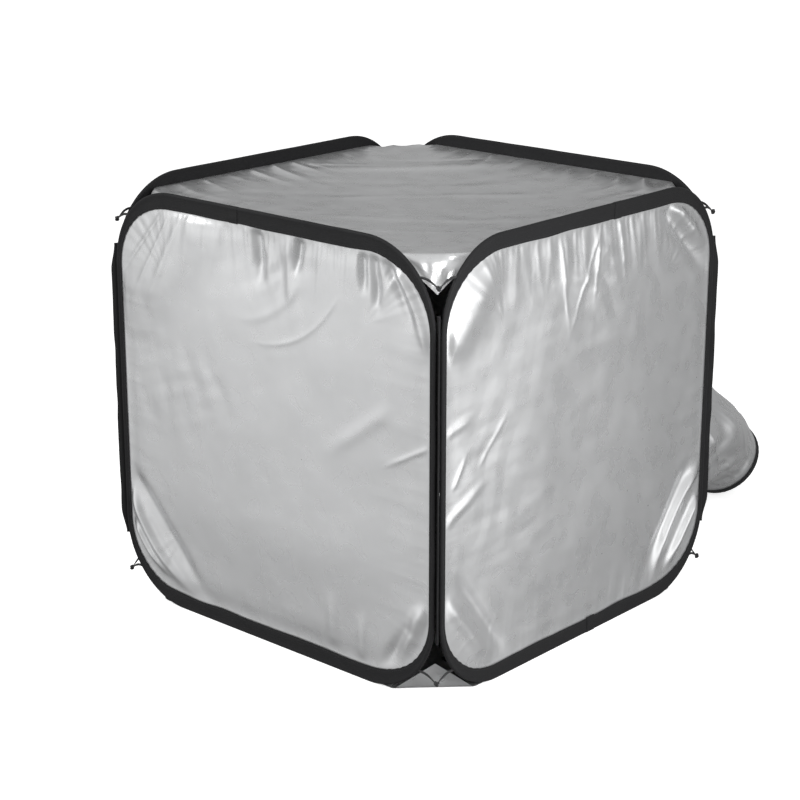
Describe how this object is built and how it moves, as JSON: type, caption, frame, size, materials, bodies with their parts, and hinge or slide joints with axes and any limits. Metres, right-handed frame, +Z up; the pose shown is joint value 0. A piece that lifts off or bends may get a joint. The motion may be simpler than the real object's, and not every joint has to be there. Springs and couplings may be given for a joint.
{
  "type": "printer enclosure tent",
  "caption": "Pop-up cube tent of silver cloth on sprung wire hoops with black binding, a zipped side door and a soft rear sleeve, for enclosing a desktop printer.",
  "frame": {"origin": "middle of the floor panel's underside, on the surface the tent stands on", "axes": "+Z up; -Y is the plain front wall, +X the plain right wall, +Y the back wall with the sleeve, -X the left wall with the door"},
  "size_m": [0.7091, 1.1366, 0.7],
  "materials": {
    "silver_cloth": "metallised coated cloth, satin",
    "black_tape": "woven binding tape, matt",
    "black_tie": "knotted tape, matt",
    "zip_metal": "black lacquer, semi-gloss",
    "spring_wire": "bright drawn wire",
    "crimp_ferrule": "plain crimped tube",
    "white_elastic": "braided elastic cord"
  },
  "bodies": {
    "front": {"front_hoop": "spring_wire", "front_ferrule": "crimp_ferrule", "front_binding": "black_tape", "front_wall": "silver_cloth", "roof_panel": "silver_cloth", "floor_panel": "silver_cloth"},
    "right": {"right_hoop": "spring_wire", "right_ferrule": "crimp_ferrule", "right_binding": "black_tape", "right_wall": "silver_cloth"},
    "back": {"back_hoop": "spring_wire", "back_ferrule": "crimp_ferrule", "back_binding": "black_tape", "back_wall": "silver_cloth", "sleeve_collar": "black_tape", "vent_sleeve": "silver_cloth", "sleeve_cuff": "black_tape", "sleeve_elastic": "white_elastic"},
    "left": {"left_hoop": "spring_wire", "left_ferrule": "crimp_ferrule", "left_binding": "black_tape", "left_wall": "silver_cloth", "door_header_tape": "black_tape", "rear_zip_wall_tape": "black_tape", "front_zip_wall_tape": "black_tape"},
    "front_right_seam": {"front_right_flange": "black_tape", "front_right_top_tie": "black_tie", "front_right_bottom_tie": "black_tie"},
    "back_right_seam": {"back_right_flange": "black_tape", "back_right_top_tie": "black_tie", "back_right_bottom_tie": "black_tie"},
    "back_left_seam": {"back_left_flange": "black_tape", "back_left_top_tie": "black_tie", "back_left_bottom_tie": "black_tie"},
    "front_left_seam": {"front_left_flange": "black_tape", "front_left_top_tie": "black_tie", "front_left_bottom_tie": "black_tie"},
    "door": {"door_flap": "silver_cloth", "door_hem_tape": "black_tape", "rear_zip_door_tape": "black_tape", "front_zip_door_tape": "black_tape"},
    "rear_slider": {"rear_slider": "zip_metal"},
    "rear_pull": {"rear_pull": "zip_metal"},
    "front_slider": {"front_slider": "zip_metal"},
    "front_pull": {"front_pull": "zip_metal"}
  },
  "joints": [
    {"name": "wall_fold", "type": "hinge", "parent": "front", "child": "right", "pos_m": [0.3427, -0.3427, 0.35], "axis": [0, 0, 1], "range_deg": [-86, 86], "stiffness_Nm_per_rad": 3, "deforming": ["roof_panel", "floor_panel"]},
    {"name": "left_fold", "type": "hinge", "parent": "front", "child": "left", "pos_m": [-0.3427, -0.3427, 0.35], "axis": [0, 0, 1], "range_deg": [-86, 86]},
    {"name": "back_fold", "type": "hinge", "parent": "right", "child": "back", "pos_m": [0.3427, 0.3427, 0.35], "axis": [0, 0, 1], "range_deg": [-86, 86]},
    {"name": "front_right_flex", "type": "hinge", "parent": "front", "child": "front_right_seam", "pos_m": [0.3427, -0.3427, 0.35], "axis": [0, 0, 1], "range_deg": [-43, 43]},
    {"name": "front_left_flex", "type": "hinge", "parent": "front", "child": "front_left_seam", "pos_m": [-0.3427, -0.3427, 0.35], "axis": [0, 0, 1], "range_deg": [-43, 43]},
    {"name": "back_right_flex", "type": "hinge", "parent": "right", "child": "back_right_seam", "pos_m": [0.3427, 0.3427, 0.35], "axis": [0, 0, 1], "range_deg": [-43, 43]},
    {"name": "back_left_flex", "type": "hinge", "parent": "left", "child": "back_left_seam", "pos_m": [-0.3427, 0.3427, 0.35], "axis": [0, 0, 1], "range_deg": [-43, 43]},
    {"name": "door_lift", "type": "hinge", "parent": "left", "child": "door", "pos_m": [-0.3503, 0, 0.54], "axis": [0, 1, 0], "range_deg": [0, 135]},
    {"name": "rear_zip_slide", "type": "slide", "parent": "door", "child": "rear_slider", "axis": [0, 0, 1], "range_m": [0, 0.35]},
    {"name": "rear_pull_swing", "type": "hinge", "parent": "rear_slider", "child": "rear_pull", "pos_m": [-0.3546, 0.22, 0.1265], "axis": [0, 1, 0], "range_deg": [0, 120]},
    {"name": "front_zip_slide", "type": "slide", "parent": "door", "child": "front_slider", "axis": [0, 0, 1], "range_m": [0, 0.35]},
    {"name": "front_pull_swing", "type": "hinge", "parent": "front_slider", "child": "front_pull", "pos_m": [-0.3546, -0.22, 0.1265], "axis": [0, 1, 0], "range_deg": [0, 120]}
  ],
  "couplings": [
    {"joint": "left_fold", "follows": "wall_fold", "ratio": 1},
    {"joint": "back_fold", "follows": "wall_fold", "ratio": -1},
    {"joint": "front_right_flex", "follows": "wall_fold", "ratio": 0.5},
    {"joint": "front_left_flex", "follows": "wall_fold", "ratio": 0.5},
    {"joint": "back_right_flex", "follows": "wall_fold", "ratio": -0.5},
    {"joint": "back_left_flex", "follows": "wall_fold", "ratio": -0.5}
  ]
}
